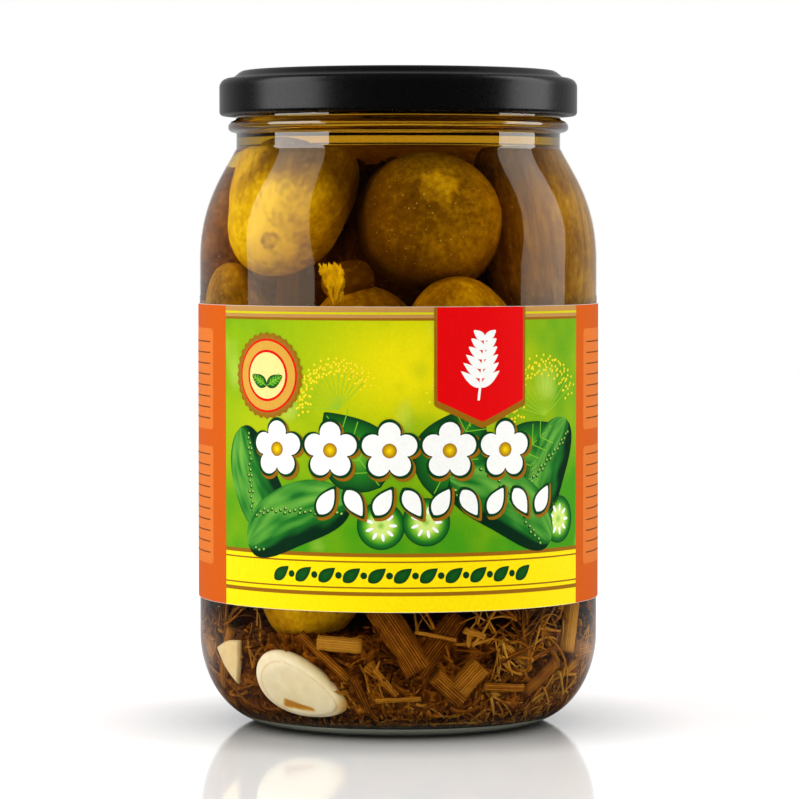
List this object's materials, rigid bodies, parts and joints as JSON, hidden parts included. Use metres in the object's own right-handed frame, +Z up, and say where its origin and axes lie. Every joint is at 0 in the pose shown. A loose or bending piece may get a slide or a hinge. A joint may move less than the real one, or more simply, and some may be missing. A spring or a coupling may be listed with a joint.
{
  "type": "pickle jar",
  "caption": "Shut round glass jar with a black twist-off lid and a wrap-round paper label, filled with pickled gherkins in brine over a bed of dill stalks and garlic.",
  "frame": {"origin": "centre of the jar's foot, on the surface it stands on", "axes": "+Z up along the jar's axis; the front of the label faces -Y, and +X is to the right of it"},
  "size_m": [0.097, 0.0972, 0.1571],
  "materials": {
    "glass": "clear flint glass",
    "lid": "satin black lacquer on tinplate",
    "label": "coated paper, printed",
    "gherkin": null,
    "dill": "brown steeped stalks",
    "garlic": null
  },
  "bodies": {
    "root": {"jar_glass": "glass", "lid": "lid", "label": "label", "gherkins": "gherkin", "dill_bed": "dill", "garlic_clove": "garlic", "garlic_wedge": "garlic"}
  },
  "joints": []
}
